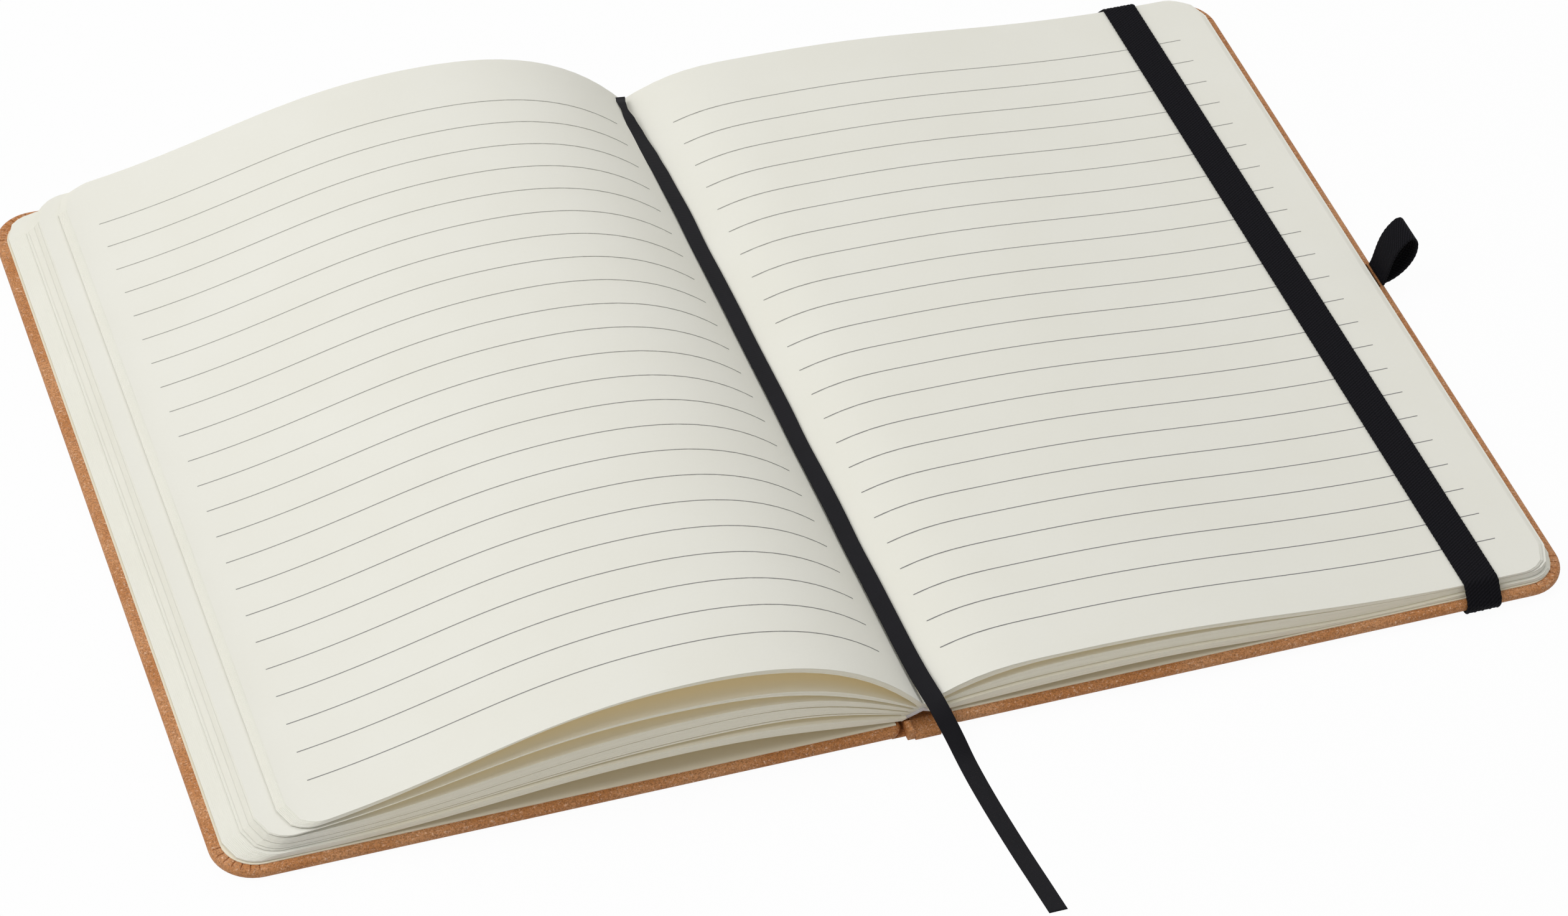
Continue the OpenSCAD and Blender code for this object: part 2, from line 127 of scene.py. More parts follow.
# %% Shader arithmetic
class Term:
    """One output socket of a material's graph, with the usual arithmetic."""

    def __init__(self, finish, socket):
        self.finish, self.socket = finish, socket

    def math(self, operation, *terms):
        return self.finish.node("ShaderNodeMath", {"operation": operation}, dict(enumerate(terms)))[0]

    def __add__(self, other):
        return self.math("ADD", self, other)

    def __sub__(self, other):
        return self.math("SUBTRACT", self, other)

    def __rsub__(self, other):
        return self.math("SUBTRACT", other, self)

    def __mul__(self, other):
        return self.math("MULTIPLY", self, other)

    def __truediv__(self, other):
        return self.math("DIVIDE", self, other)

    def __rtruediv__(self, other):
        return self.math("DIVIDE", other, self)

    def __abs__(self):
        return self.math("ABSOLUTE", self)

    def between(self, low, high):
        """0 below low, 1 above high, and a smooth rise between."""
        settings = {"interpolation_type": "SMOOTHSTEP"}
        return self.finish.node("ShaderNodeMapRange", settings, {"Value": self, 1: low, 2: high})[0]

    def wave(self, length):
        """A sine of that wavelength, from 0 to 1."""
        return self.math("SINE", self * (2 * math.pi / length)) * 0.5 + 0.5

    __radd__ = __add__
    __rmul__ = __mul__


class Finish:
    """A material and the graph that makes it."""

    def __init__(self, name):
        self.material = bpy.data.materials.new(name)
        self.material.use_nodes = True
        self.tree = self.material.node_tree
        self.shader = self.tree.nodes["Principled BSDF"]

    def node(self, kind, settings=None, sockets=None):
        made = self.tree.nodes.new(kind)
        for key, value in (settings or {}).items():
            setattr(made, key, value)
        for key, value in (sockets or {}).items():
            self.plug(value, made.inputs[key])
        return [Term(self, socket) for socket in made.outputs]

    def plug(self, value, socket):
        if isinstance(value, Term):
            self.tree.links.new(value.socket, socket)
        elif isinstance(value, (tuple, list)) and socket.type == "RGBA" and len(value) == 3:
            socket.default_value = (*value, 1)
        else:
            socket.default_value = value

    def place(self, stretch=(1, 1, 1)):
        """Object coordinates, stretched."""
        spot = self.node("ShaderNodeTexCoord")[3]
        return self.node("ShaderNodeMapping", {}, {"Vector": spot, "Scale": stretch})[0]

    def across(self):
        """The piece's own U and V."""
        spot = self.node("ShaderNodeUVMap")[0]
        return self.node("ShaderNodeSeparateXYZ", {}, {"Vector": spot})[:2]

    def mark(self, name):
        """A number that the mesh carries at its points."""
        return self.node("ShaderNodeAttribute", {"attribute_name": name})[2]

    def noise(self, scale, detail=4, rough=0.5, place=None):
        where = place or self.place()
        sockets = {"Vector": where, "Scale": scale, "Detail": detail, "Roughness": rough}
        return self.node("ShaderNodeTexNoise", {}, sockets)[0]

    def mix(self, factor, first, second):
        """Colour between two colours."""
        sockets = {0: factor, 6: first, 7: second}
        return self.node("ShaderNodeMix", {"data_type": "RGBA"}, sockets)[2]

    def bump(self, height, distance, strength=1.0, normal=None):
        sockets = {"Height": height, "Distance": distance, "Strength": strength}
        if normal is not None:
            sockets["Normal"] = normal
        return self.node("ShaderNodeBump", {}, sockets)[0]

    def surface(self, **sockets):
        for key, value in sockets.items():
            self.plug(value, self.shader.inputs[key.replace("_", " ")])
        return self.material


def srgb(red, green, blue):
    """A colour as a picture states it, turned to the linear values that Blender uses."""
    return tuple(v / 12.92 if v <= 0.04045 else ((v + 0.055) / 1.055) ** 2.4
                 for v in (c / 255 for c in (red, green, blue)))


# %% [markdown]
# ## The covering's finish
# The covering is a reprocessed leather: a warm brown with paler flecks of fibre, a soft cloudiness of tone
# and a fine pebbled grain. Three noises of different scale do this: clouds some centimetres wide,
# flecks of a millimetre, and a grain a fifth of that which only raises the surface.

# %% Covering
COVERING_DEEP = srgb(112, 68, 32)
COVERING_MAIN = srgb(189, 124, 68)
COVERING_PALE = srgb(204, 145, 95)
COVERING_FLECK = srgb(248, 214, 184)


def covering_finish():
    finish = Finish("reprocessed_leather")
    clouds = finish.noise(70, 4, 0.6).between(0.35, 0.65)
    fibres = finish.noise(2600, 4, 0.65)
    flakes = finish.noise(1300, 4, 0.7, finish.place((1, 1.4, 1)))
    flecks = flakes.between(0.52, 0.74)
    pits = 1 - fibres.between(0.32, 0.6)
    grain = finish.node("ShaderNodeTexVoronoi", {"feature": "SMOOTH_F1"},
                        {"Vector": finish.place(), "Scale": 1500, "Smoothness": 0.6})[0]
    base = finish.mix(clouds, COVERING_MAIN, COVERING_PALE)
    base = finish.mix(flecks * 0.8, base, COVERING_FLECK)
    base = finish.mix(pits * 0.7, base, COVERING_DEEP)
    height = fibres * 0.7 + grain * 0.5
    return finish.surface(Base_Color=base, Roughness=0.62 - flecks * 0.1, Specular_IOR_Level=0.4,
                          Normal=finish.bump(height, 0.1 * MM, 0.5))


# %% [markdown]
# ## Paper finishes
# Writing paper is matte and slightly cloudy when held close. Its tone hardly varies, so the finish is a
# cream with two faint noises. Thin paper also lets light through, and what comes out between the leaves is
# yellower. Tracing that light is slow, so between the leaves it is painted: a yellow painted shade in the
# base colour and a faint warm painted glow.

# %% Paper
PAPER_LIGHT = srgb(236, 235, 226)
PAPER_DARK = srgb(230, 228, 216)
# Painted shade between the leaves, and a painted glow that stands for light coming through the paper
PAPER_PAINTED_SHADE = srgb(232, 219, 188)
PAPER_PAINTED_GLOW = (0.085, 0.075, 0.048)


def paper_finish(name, light=PAPER_LIGHT, dark=PAPER_DARK, inner=None):
    """Cream paper. Between the leaves it gets a yellow painted shade and a faint painted glow by the mark that the
    leaves carry, or a painted shade alone by inner.
    """
    finish = Finish(name)
    clouds = finish.noise(45, 2, 0.5).between(0.2, 0.8)
    fibres = finish.noise(1400, 4, 0.7)
    base = finish.mix(clouds * 0.3 + fibres * 0.4, light, dark)
    # Yellow painted shade between the leaves: by the mark with a faint painted glow, or by inner
    if inner is None:
        depth = finish.mark("inner")
        base = finish.mix(depth, base, PAPER_PAINTED_SHADE)
        finish.surface(Emission_Color=finish.mix(depth, (0, 0, 0), PAPER_PAINTED_GLOW), Emission_Strength=1.0)
    else:
        base = finish.mix(inner, base, PAPER_PAINTED_SHADE)
    return finish.surface(Base_Color=base, Roughness=0.92 - fibres * 0.06, Specular_IOR_Level=0.25,
                          Normal=finish.bump(fibres, 0.02 * MM, 0.5))


def line_ink_finish():
    """Grey ink, a little paler towards the head and on the left page."""
    finish = Finish("ruling_ink")
    fibres = finish.noise(2600, 3, 0.7).between(0.3, 0.75)
    place = finish.node("ShaderNodeSeparateXYZ", {}, {"Vector": finish.place()})
    paler = place[1].between(-0.1, 0.1) * 0.75 + place[0].between(0.01, -0.01) * 0.25
    dark = finish.mix(paler, srgb(112, 112, 112), srgb(160, 160, 152))
    pale = finish.mix(paler, srgb(142, 142, 140), srgb(186, 185, 176))
    return finish.surface(Base_Color=finish.mix(fibres, dark, pale), Roughness=0.85)


def board_finish():
    finish = Finish("grey_board")
    fibres = finish.noise(900, 5, 0.7)
    base = finish.mix(fibres, srgb(142, 134, 116), srgb(176, 168, 150))
    return finish.surface(Base_Color=base, Roughness=0.92, Normal=finish.bump(fibres, 0.05 * MM))


# %% [markdown]
# ## Woven finishes
# The elastic is black yarn over rubber: its ribs are modelled, and the finish adds the single stitches of
# yarn, with a painted highlight that makes them a little greyer where they catch the light. The ribbon is
# satin, so its fine cross ribs are only a bump, and a smooth surface gives the sheen. Both read the strip's
# own UV map, which is in metres across and along, so that the weave follows every bend.


# %% Elastic and satin
def elastic_finish():
    finish = Finish("ribbed_elastic")
    across, along = finish.across()
    yarn = (along + across * 0.6).wave(0.75 * MM) * (1 - abs(across.wave(1.2 * MM) - 0.5) * 0.8)
    fuzz = finish.noise(1800, 3, 0.7)
    # Painted highlight: the base colour is a little greyer where the yarn pattern is high
    base = finish.mix(yarn * 0.5 + fuzz * 0.3, srgb(6, 6, 8), srgb(36, 35, 40))
    return finish.surface(Base_Color=base, Roughness=0.8 - yarn * 0.12, Specular_IOR_Level=0.05,
                          Normal=finish.bump(yarn + fuzz * 0.3, 0.12 * MM, 0.8))


def satin_finish():
    finish = Finish("black_satin")
    across, along = finish.across()
    picks = along.wave(0.32 * MM)
    ends = across.wave(0.21 * MM)
    drift = finish.noise(160, 2, 0.5)
    base = finish.mix(picks * 0.5 + drift * 0.4, srgb(5, 5, 7), srgb(25, 24, 29))
    return finish.surface(Base_Color=base, Roughness=0.5 + ends * 0.12, Specular_IOR_Level=0.1,
                          Normal=finish.bump(picks * 0.7 + ends * 0.3, 0.03 * MM, 0.7))


finishes = {
    "covering": covering_finish(),
    "paper": paper_finish("cream_paper"),
    # The endpaper lies under the leaves and gets 0.55 of their yellow painted shade, and the lining a trace of it
    "endpaper": paper_finish("endpaper", inner=0.55),
    "lining": paper_finish("white_lining", srgb(240, 238, 240), srgb(226, 222, 228), inner=0.01),
    "board": board_finish(),
    "ink": line_ink_finish(),
    "elastic": elastic_finish(),
    "ribbon": satin_finish(),
}
CARRIED_OVER = {
    "front_covering": "covering", "back_and_spine_covering": "covering",
    "front_board": "board", "back_board": "board", "spine_card": "board",
    "spine_lining": "lining",
}
for node, finish_name in CARRIED_OVER.items():
    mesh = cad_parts[node].data
    mesh.materials.clear()
    mesh.materials.append(finishes[finish_name])
print("finishes:", ", ".join(finishes))

# %% [markdown]
# ## How the leaves curve
# Opened near the middle, a sewn or glued book fans its leaves into a few loose groups. Each group lies
# between two lines that start at the glued spine, climb over a highest point and come down to the
# fore-edge. A line is two Bezier curves, and its numbers are those of the CAD model, measured out from
# the spine and up from the front cover's endpaper.

# %% Lines of leaves
PAGE_Z = 2.8
PAGE_HALF = 108.5
LEAF_REACH = 155.5
LEFT_ARCH = 25.6
RIGHT_ARCH = 10.2
BACK_RISE = 0.7
LEAF_CORNER = 7.5
CURVE_PULL = 0.42
CURVE_STEPS = 40


def bezier(a, b, c, d, t):
    return (1 - t) ** 3 * a + 3 * t * (1 - t) ** 2 * b + 3 * t * t * (1 - t) * c + t ** 3 * d


def leaf_line(start, rise, peak, end, fall, fore):
    """Points of one line of leaves, in millimetres, from the spine to the fore-edge."""
    start, peak, end = Vector(start), Vector(peak), Vector(end)
    up, down = CURVE_PULL * (peak.x - start.x), CURVE_PULL * (end.x - peak.x)
    leave = start + up * Vector((math.cos(math.radians(rise)), math.sin(math.radians(rise))))
    arrive = end - down * Vector((math.cos(math.radians(fall)), -math.sin(math.radians(fall))))
    steps = [i / CURVE_STEPS for i in range(CURVE_STEPS + 1)]
    first = [bezier(start, leave, peak - Vector((up, 0)), peak, t) for t in steps]
    last = [bezier(peak, peak + Vector((down, 0)), arrive, end, t) for t in steps[1:]]
    return first + last + [Vector((fore, end.y))]


LEFT_FORE = LEAF_REACH - 14.2
RIGHT_FLAT = LEAF_REACH - 27
LEAF_GAP = 0.12
# Name of a group: its upper line, its lower line, and how many leaves are in it
LEFT_GROUPS = {
    "top": (((-0.7, 3.5), 50, (51, LEFT_ARCH), (LEFT_FORE - 2, 7.2), 9, LEFT_FORE),
            ((0.1, 2.7), 49, (54, LEFT_ARCH - 0.9), (LEFT_FORE + 0.5, 5.75), 8, LEFT_FORE + 2), 9),
    "single": (((0.3, 2.5), 34, (56, LEFT_ARCH - 7.2), (LEAF_REACH - 8.5, 5.2), 3, LEAF_REACH - 7.5),
               ((0.6, 2.3), 30, (58, LEFT_ARCH - 8.0), (LEAF_REACH - 8.3, 4.8), 3, LEAF_REACH - 7.2), 4),
    "upper": (((0.9, 2.0), 28, (50, LEFT_ARCH - 11.4), (LEAF_REACH - 7.9, 4.8 - LEAF_GAP), 0, LEAF_REACH - 7),
              ((1.7, 1.7), 24, (46, LEFT_ARCH - 13.65), (LEAF_REACH - 7, 3.35), -2, LEAF_REACH - 6.2), 13),
    "middle": (((1.9, 1.5), 23, (46, LEFT_ARCH - 13.8), (LEAF_REACH - 6.8, 3.35 - LEAF_GAP), -2, LEAF_REACH - 6),
               ((2.6, 1.2), 19, (46, LEFT_ARCH - 16.8), (LEAF_REACH - 5.4, 2.3), -2, LEAF_REACH - 4.8), 14),
    "strip": (((2.7, 1.17), 18, (46, LEFT_ARCH - 17.05), (LEAF_REACH - 5.3, 2.18), -2, LEAF_REACH - 4.7),
              ((2.9, 1.1), 17, (46, LEFT_ARCH - 17.5), (LEAF_REACH - 5, 1.7), -2, LEAF_REACH - 4.2), 3),
    "low": (((3.2, 0.9), 13, (52, LEFT_ARCH - 18.5), (LEAF_REACH - 4.8, 1.7 - LEAF_GAP), -2, LEAF_REACH - 3.8),
            ((4.1, 0.3), 7, (54, LEFT_ARCH - 20.5), (LEAF_REACH - 21, 0.15), 1, LEAF_REACH), 11),
}
RIGHT_GROUPS = {
    "top": (((0.9, 3.5), 29, (37, RIGHT_ARCH), (RIGHT_FLAT, BACK_RISE + 3.1), 2, LEAF_REACH - 2),
            ((1.2, 2.6), 23, (36, RIGHT_ARCH - 1), (RIGHT_FLAT, BACK_RISE + 2.5), 0.5, LEAF_REACH - 1.2), 7),
    "middle": (((1.4, 2.3), 16, (42, RIGHT_ARCH - 2.75), (RIGHT_FLAT, BACK_RISE + 2.38), 1, LEAF_REACH - 0.4),
               ((1.8, 2.0), 8, (45, RIGHT_ARCH - 5.6), (RIGHT_FLAT, BACK_RISE + 0.9), -3, LEAF_REACH - 0.2), 13),
    "low": (((1.9, 1.9), 7, (45, RIGHT_ARCH - 5.75), (RIGHT_FLAT, BACK_RISE + 0.78), -3, LEAF_REACH),
            ((4.3, 1.05), 2, (52, RIGHT_ARCH - 7.6), (LEAF_REACH - 63, BACK_RISE), 1, LEAF_REACH + 0.7), 8),
}
print("leaves:", sum(g[2] for g in (*LEFT_GROUPS.values(), *RIGHT_GROUPS.values())))

# %% [markdown]
# ## Small helpers for Geometry Nodes
# A node tree is built once and used by many objects. One helper makes a node with its settings and
# inputs, and another runs a tree on an object and turns the result into a plain mesh, because the export
# can't keep instances or live trees.


# %% Geometry Nodes helpers
class Tree:
    """A Geometry Nodes group with named inputs."""

    def __init__(self, name, inputs):
        self.group = bpy.data.node_groups.new(name, "GeometryNodeTree")
        face = self.group.interface
        face.new_socket("Geometry", in_out="INPUT", socket_type="NodeSocketGeometry")
        for label, kind in inputs.items():
            face.new_socket(label, in_out="INPUT", socket_type="NodeSocket" + kind)
        face.new_socket("Geometry", in_out="OUTPUT", socket_type="NodeSocketGeometry")
        self.entry = self.group.nodes.new("NodeGroupInput")
        self.exit = self.group.nodes.new("NodeGroupOutput")

    def given(self, label):
        return self.entry.outputs[label]

    def node(self, kind, settings=None, sockets=None):
        made = self.group.nodes.new(kind)
        for key, value in (settings or {}).items():
            setattr(made, key, value)
        for key, value in (sockets or {}).items():
            self.plug(value, made.inputs[key])
        return made.outputs

    def plug(self, value, socket):
        if isinstance(value, bpy.types.NodeSocket):
            self.group.links.new(value, socket)
        else:
            socket.default_value = value

    def math(self, operation, *terms):
        return self.node("ShaderNodeMath", {"operation": operation}, dict(enumerate(terms)))[0]

    def vector(self, operation, *terms):
        made = self.node("ShaderNodeVectorMath", {"operation": operation})
        holder = made[0].node
        for slot, term in zip(holder.inputs, terms):
            self.plug(term, slot)
        return made[0]

    def scaled(self, vector, factor):
        return self.node("ShaderNodeVectorMath", {"operation": "SCALE"}, {0: vector, "Scale": factor})[0]

    def blend(self, factor, first, second):
        sockets = {0: factor, 4: first, 5: second}
        return self.node("ShaderNodeMix", {"data_type": "VECTOR"}, sockets)[1]

    def on_curve(self, line, factor):
        """Place and direction on the curve of an object, at a share of its length."""
        curve = self.node("GeometryNodeObjectInfo", {"transform_space": "RELATIVE"}, {"Object": line})
        spot = self.node("GeometryNodeSampleCurve", {"mode": "FACTOR", "use_all_curves": True},
                         {"Curves": curve["Geometry"], "Factor": factor})
        return spot["Position"], spot["Tangent"]

    def close(self, geometry, material):
        """End the tree: real mesh, one material."""
        real = self.node("GeometryNodeRealizeInstances", {}, {0: geometry})[0]
        done = self.node("GeometryNodeSetMaterial", {}, {"Geometry": real, "Material": material})[0]
        self.group.links.new(done, self.exit.inputs[0])


def run_tree(tree, start_mesh, name, values):
    """Run a tree on a mesh and give a new object with the plain result."""
    holder = bpy.data.objects.new(name + "_start", start_mesh)
    scene.collection.objects.link(holder)
    modifier = holder.modifiers.new("tree", "NODES")
    modifier.node_group = tree.group
    sockets = {s.name: s.identifier for s in tree.group.interface.items_tree if s.in_out == "INPUT"}
    for label, value in values.items():
        modifier[sockets[label]] = value
    graph = bpy.context.evaluated_depsgraph_get()
    mesh = bpy.data.meshes.new_from_object(holder.evaluated_get(graph))
    bpy.data.objects.remove(holder)
    mesh.name = name
    piece = bpy.data.objects.new(name, mesh)
    scene.collection.objects.link(piece)
    return piece


def curve_object(name, points):
    """A straight-segment curve through points in metres, for a tree to follow."""
    data = bpy.data.curves.new(name, "CURVE")
    data.dimensions = "3D"
    spline = data.splines.new("POLY")
    spline.points.add(len(points) - 1)
    for spot, point in zip(spline.points, points):
        spot.co = (*point, 1)
    curve = bpy.data.objects.new(name, data)
    scene.collection.objects.link(curve)
    return curve


def join(name, parts):
    """One object from several plain meshes that share one material."""
    bpy.ops.object.select_all(action="DESELECT")
    for part in parts:
        part.select_set(True)
    bpy.context.view_layer.objects.active = parts[0]
    bpy.ops.object.join()
    parts[0].name = parts[0].data.name = name
    return parts[0]


# %% [markdown]
# ## The leaves
# A stack of paper could be one block with lines painted on its edge, but where the leaves fan apart the
# eye sees single sheets. Here one flat blank leaf is drawn in unit sizes: u runs from the spine to the
# fore-edge, v from tail to head and w through the paper. A Geometry Nodes tree repeats the blank, and
# bends each copy to its own line between the group's upper and lower lines, cutting its corners round.


# %% One blank leaf
def stations(count, last_share, last_count):
    """Shares from 0 to 1, closer together over the last share, where a corner is rounded."""
    main = [i / count * (1 - last_share) for i in range(count)]
    turn = [1 - last_share * math.cos(math.pi / 2 * i / last_count) for i in range(last_count + 1)]
    return main + turn


def blank_slab(name, along, side, low=0.0, high=1.0):
    """A closed slab on a grid: u along, v to the side, w from low to high."""
    points, faces = [], []
    columns, rows = len(along), len(side)
    for w in (low, high):
        points += [(u, v, w) for u in along for v in side]
    top = columns * rows

    def at(i, j, layer):
        return layer * top + i * rows + j

    for i in range(columns - 1):
        for j in range(rows - 1):
            faces.append((at(i, j, 1), at(i + 1, j, 1), at(i + 1, j + 1, 1), at(i, j + 1, 1)))
            faces.append((at(i, j, 0), at(i, j + 1, 0), at(i + 1, j + 1, 0), at(i + 1, j, 0)))
        for j, flip in ((0, False), (rows - 1, True)):
            wall = (at(i, j, 0), at(i + 1, j, 0), at(i + 1, j, 1), at(i, j, 1))
            faces.append(wall[::-1] if flip else wall)
    for j in range(rows - 1):
        for i, flip in ((0, True), (columns - 1, False)):
            wall = (at(i, j, 0), at(i, j + 1, 0), at(i, j + 1, 1), at(i, j, 1))
            faces.append(wall[::-1] if flip else wall)
    mesh = bpy.data.meshes.new(name)
    mesh.from_pydata(points, [], faces)
    return mesh


LEAF_STATIONS = stations(34, 0.055, 7)
HEIGHT_STATIONS = [-1, -0.96] + [-0.84 + i * 0.14 for i in range(13)] + [0.96, 1]
PAGE_STATIONS = [-1 + i / 30 for i in range(61)]

# %% Tree that fans and bends leaves
LEAF_T = 0.085 * MM
# Share of the painted shade and glow between the leaves that the leaves' cut edges get
EDGE_PAINTED_SHADE = 0.3


def leaf_tree():
    tree = Tree("leaf_fan", {
        "Upper line": "Object", "Lower line": "Object", "Leaves": "Int", "Leaf thickness": "Float",
        "Fill": "Float", "Filled share": "Float", "Inner": "Float", "Open from": "Float", "Ragged": "Float",
        "Half height": "Float", "Corner radius": "Float", "Side": "Float", "Scatter": "Float",
        "Wave": "Float", "Skew": "Float", "Base": "Float", "Seed": "Int", "Material": "Material"})
    own = tree.node("GeometryNodeInputPosition")[0]
    unit = tree.node("ShaderNodeSeparateXYZ", {}, {0: own})
    single = tree.node("GeometryNodeGeometryToInstance", {}, {0: tree.given("Geometry")})[0]
    many = tree.node("GeometryNodeDuplicateElements", {"domain": "INSTANCE"},
                     {"Geometry": single, "Amount": tree.given("Leaves")})
    marked = tree.node("GeometryNodeStoreNamedAttribute", {"data_type": "FLOAT", "domain": "INSTANCE"},
                       {"Geometry": many["Geometry"], "Name": "leaf", "Value": many["Duplicate Index"]})[0]
    real = tree.node("GeometryNodeRealizeInstances", {}, {0: marked})[0]
    leaf = tree.node("GeometryNodeInputNamedAttribute", {"data_type": "FLOAT"}, {"Name": "leaf"})[0]
    last = tree.math("MAXIMUM", tree.math("SUBTRACT", tree.given("Leaves"), 1), 1)
    share = tree.math("DIVIDE", leaf, last)
    # Leaves lie unevenly, but the first and the last stay on the group's two lines
    inner = tree.math("MULTIPLY", tree.math("MULTIPLY", share, tree.math("SUBTRACT", 1, share)), 4)
    chance = tree.node("FunctionNodeRandomValue", {"data_type": "FLOAT"},
                       {2: -1.0, 3: 1.0, "ID": leaf, "Seed": tree.given("Seed")})[1]
    slip = tree.math("DIVIDE", tree.math("MULTIPLY", chance, tree.given("Scatter")), last)
    share = tree.math("ADD", share, tree.math("MULTIPLY", inner, slip))
    share = tree.math("MULTIPLY", share, tree.given("Filled share"))
    # A group of one leaf lies on its upper line
    only = tree.math("LESS_THAN", tree.given("Leaves"), 1.5)
    share = tree.math("MAXIMUM", share, only)
    high, way = tree.on_curve(tree.given("Upper line"), unit["X"])
    low, low_way = tree.on_curve(tree.given("Lower line"), unit["X"])
    spot = tree.blend(share, low, high)
    high_end = tree.on_curve(tree.given("Upper line"), 1.0)[0]
    low_end = tree.on_curve(tree.given("Lower line"), 1.0)[0]
    fore = tree.math("ABSOLUTE", tree.node("ShaderNodeSeparateXYZ", {},
                                           {0: tree.blend(share, low_end, high_end)})["X"])
    # Thickness goes along the line's normal, which points up on both sides
    slope = tree.node("ShaderNodeSeparateXYZ", {}, {0: tree.blend(share, low_way, way)})
    side = tree.given("Side")
    normal = tree.node("ShaderNodeCombineXYZ", {}, {
        "X": tree.math("MULTIPLY", tree.math("MULTIPLY", slope["Z"], side), -1),
        "Z": tree.math("MULTIPLY", slope["X"], side)})[0]
    # A leaf is never thicker than its share of the group, so that leaves touch only where they press
    room = tree.node("ShaderNodeVectorMath", {"operation": "DISTANCE"}, {0: high, 1: low})["Value"]
    pitch = tree.math("MULTIPLY", tree.math("DIVIDE", room, last), tree.given("Fill"))
    thick = tree.math("MINIMUM", tree.given("Leaf thickness"), pitch)
    through = tree.math("MULTIPLY", tree.math("SUBTRACT", unit["Z"], share), thick)
    spot = tree.vector("ADD", spot, tree.scaled(normal, through))
    flat = tree.node("ShaderNodeSeparateXYZ", {}, {0: spot})
    # Rounded corners: the leaf gets shorter over the last stretch before its fore-edge
    radius = tree.given("Corner radius")
    into = tree.math("MAXIMUM", tree.math("SUBTRACT", tree.math("ABSOLUTE", flat["X"]),
                                          tree.math("SUBTRACT", fore, radius)), 0)
    left_over = tree.math("SUBTRACT", tree.math("MULTIPLY", radius, radius), tree.math("MULTIPLY", into, into))
    cut = tree.math("SUBTRACT", radius, tree.math("SQRT", tree.math("MAXIMUM", left_over, 0)))
    half = tree.math("SUBTRACT", tree.given("Half height"), cut)
    half = tree.math("SUBTRACT", half, tree.math("MULTIPLY", tree.math("ADD", chance, 1), tree.given("Ragged")))
    y = tree.math("MULTIPLY", unit["Y"], half)
    # The arch is a little higher at the tail, and the paper waves along its free edge
    above = tree.math("SUBTRACT", flat["Z"], tree.given("Base"))
    tilt = tree.math("SUBTRACT", 1, tree.math("MULTIPLY", unit["Y"], tree.given("Skew")))
    ripple = tree.node("ShaderNodeTexNoise", {"noise_dimensions": "2D"}, {
        "Vector": tree.node("ShaderNodeCombineXYZ", {}, {
            "X": tree.math("MULTIPLY", flat["X"], 9), "Y": tree.math("MULTIPLY", y, 26)})[0],
        "Scale": 1.0, "Detail": 1.0})[0]
    lift = tree.math("MULTIPLY", tree.math("SUBTRACT", ripple, 0.5), tree.given("Wave"))
    out = tree.math("POWER", unit["X"], 3)
    tilt = tree.math("ADD", tilt, tree.math("MULTIPLY", lift, out))
    z = tree.math("ADD", tree.given("Base"), tree.math("MULTIPLY", above, tilt))
    place = tree.node("ShaderNodeCombineXYZ", {}, {"X": flat["X"], "Y": y, "Z": z})[0]
    # How far inside the fan a point is, for the painted shade and glow between the leaves: nothing past the top leaf's
    # fore-edge
    outside = tree.node("ShaderNodeMapRange", {"interpolation_type": "SMOOTHSTEP"}, {
        "Value": tree.math("ABSOLUTE", flat["X"]), 1: tree.math("SUBTRACT", tree.given("Open from"), 0.022),
        2: tree.given("Open from")})[0]
    depth = tree.math("SUBTRACT", 1, tree.math("ABSOLUTE", unit["Y"]))
    depth = tree.math("MINIMUM", tree.math("ADD", tree.math("MULTIPLY", depth, 15), EDGE_PAINTED_SHADE), 1)
    inner = tree.math("MULTIPLY", tree.math("MULTIPLY", tree.given("Inner"), depth), tree.math("SUBTRACT", 1, outside))
    toned = tree.node("GeometryNodeStoreNamedAttribute", {"data_type": "FLOAT", "domain": "POINT"},
                      {"Geometry": real, "Name": "inner", "Value": inner})[0]
    bent = tree.node("GeometryNodeSetPosition", {}, {"Geometry": toned, "Position": place})[0]
    tree.close(bent, tree.given("Material"))
    return tree


fan = leaf_tree()

# %% Fan the groups of leaves
LEFT_SKEW, RIGHT_SKEW = 0.014, 0.006
GROUP_LEAF_T = 0.4 * MM
LEAF_FILL = 0.97
# Strength of the yellow painted shade and glow between the leaves; the page that shows gets none
PAINTED_SHADE_STRENGTH = 1.0
# The lowest leaves stick out by this at head and tail
LOW_LEDGE = 0.7 * MM


def line_curve(name, spec, side):
    points = leaf_line(*spec)
    return curve_object(name, [(side * p.x * MM, 0, (p.y + PAGE_Z) * MM) for p in points])


def fan_values(upper, lower, leaves, side, **more):
    values = {"Upper line": upper, "Lower line": lower, "Leaves": leaves, "Leaf thickness": GROUP_LEAF_T,
              "Fill": LEAF_FILL, "Filled share": 1.0, "Inner": PAINTED_SHADE_STRENGTH, "Ragged": 0.03 * MM,
              "Open from": (LEFT_FORE if side < 0 else LEAF_REACH - 2) * MM,
              "Half height": PAGE_HALF * MM, "Corner radius": LEAF_CORNER * MM, "Side": float(side),
              "Scatter": 0.14, "Wave": 0.05, "Skew": LEFT_SKEW if side < 0 else RIGHT_SKEW,
              "Base": PAGE_Z * MM, "Seed": leaves, "Material": finishes["paper"]}
    values.update(more)
    return values


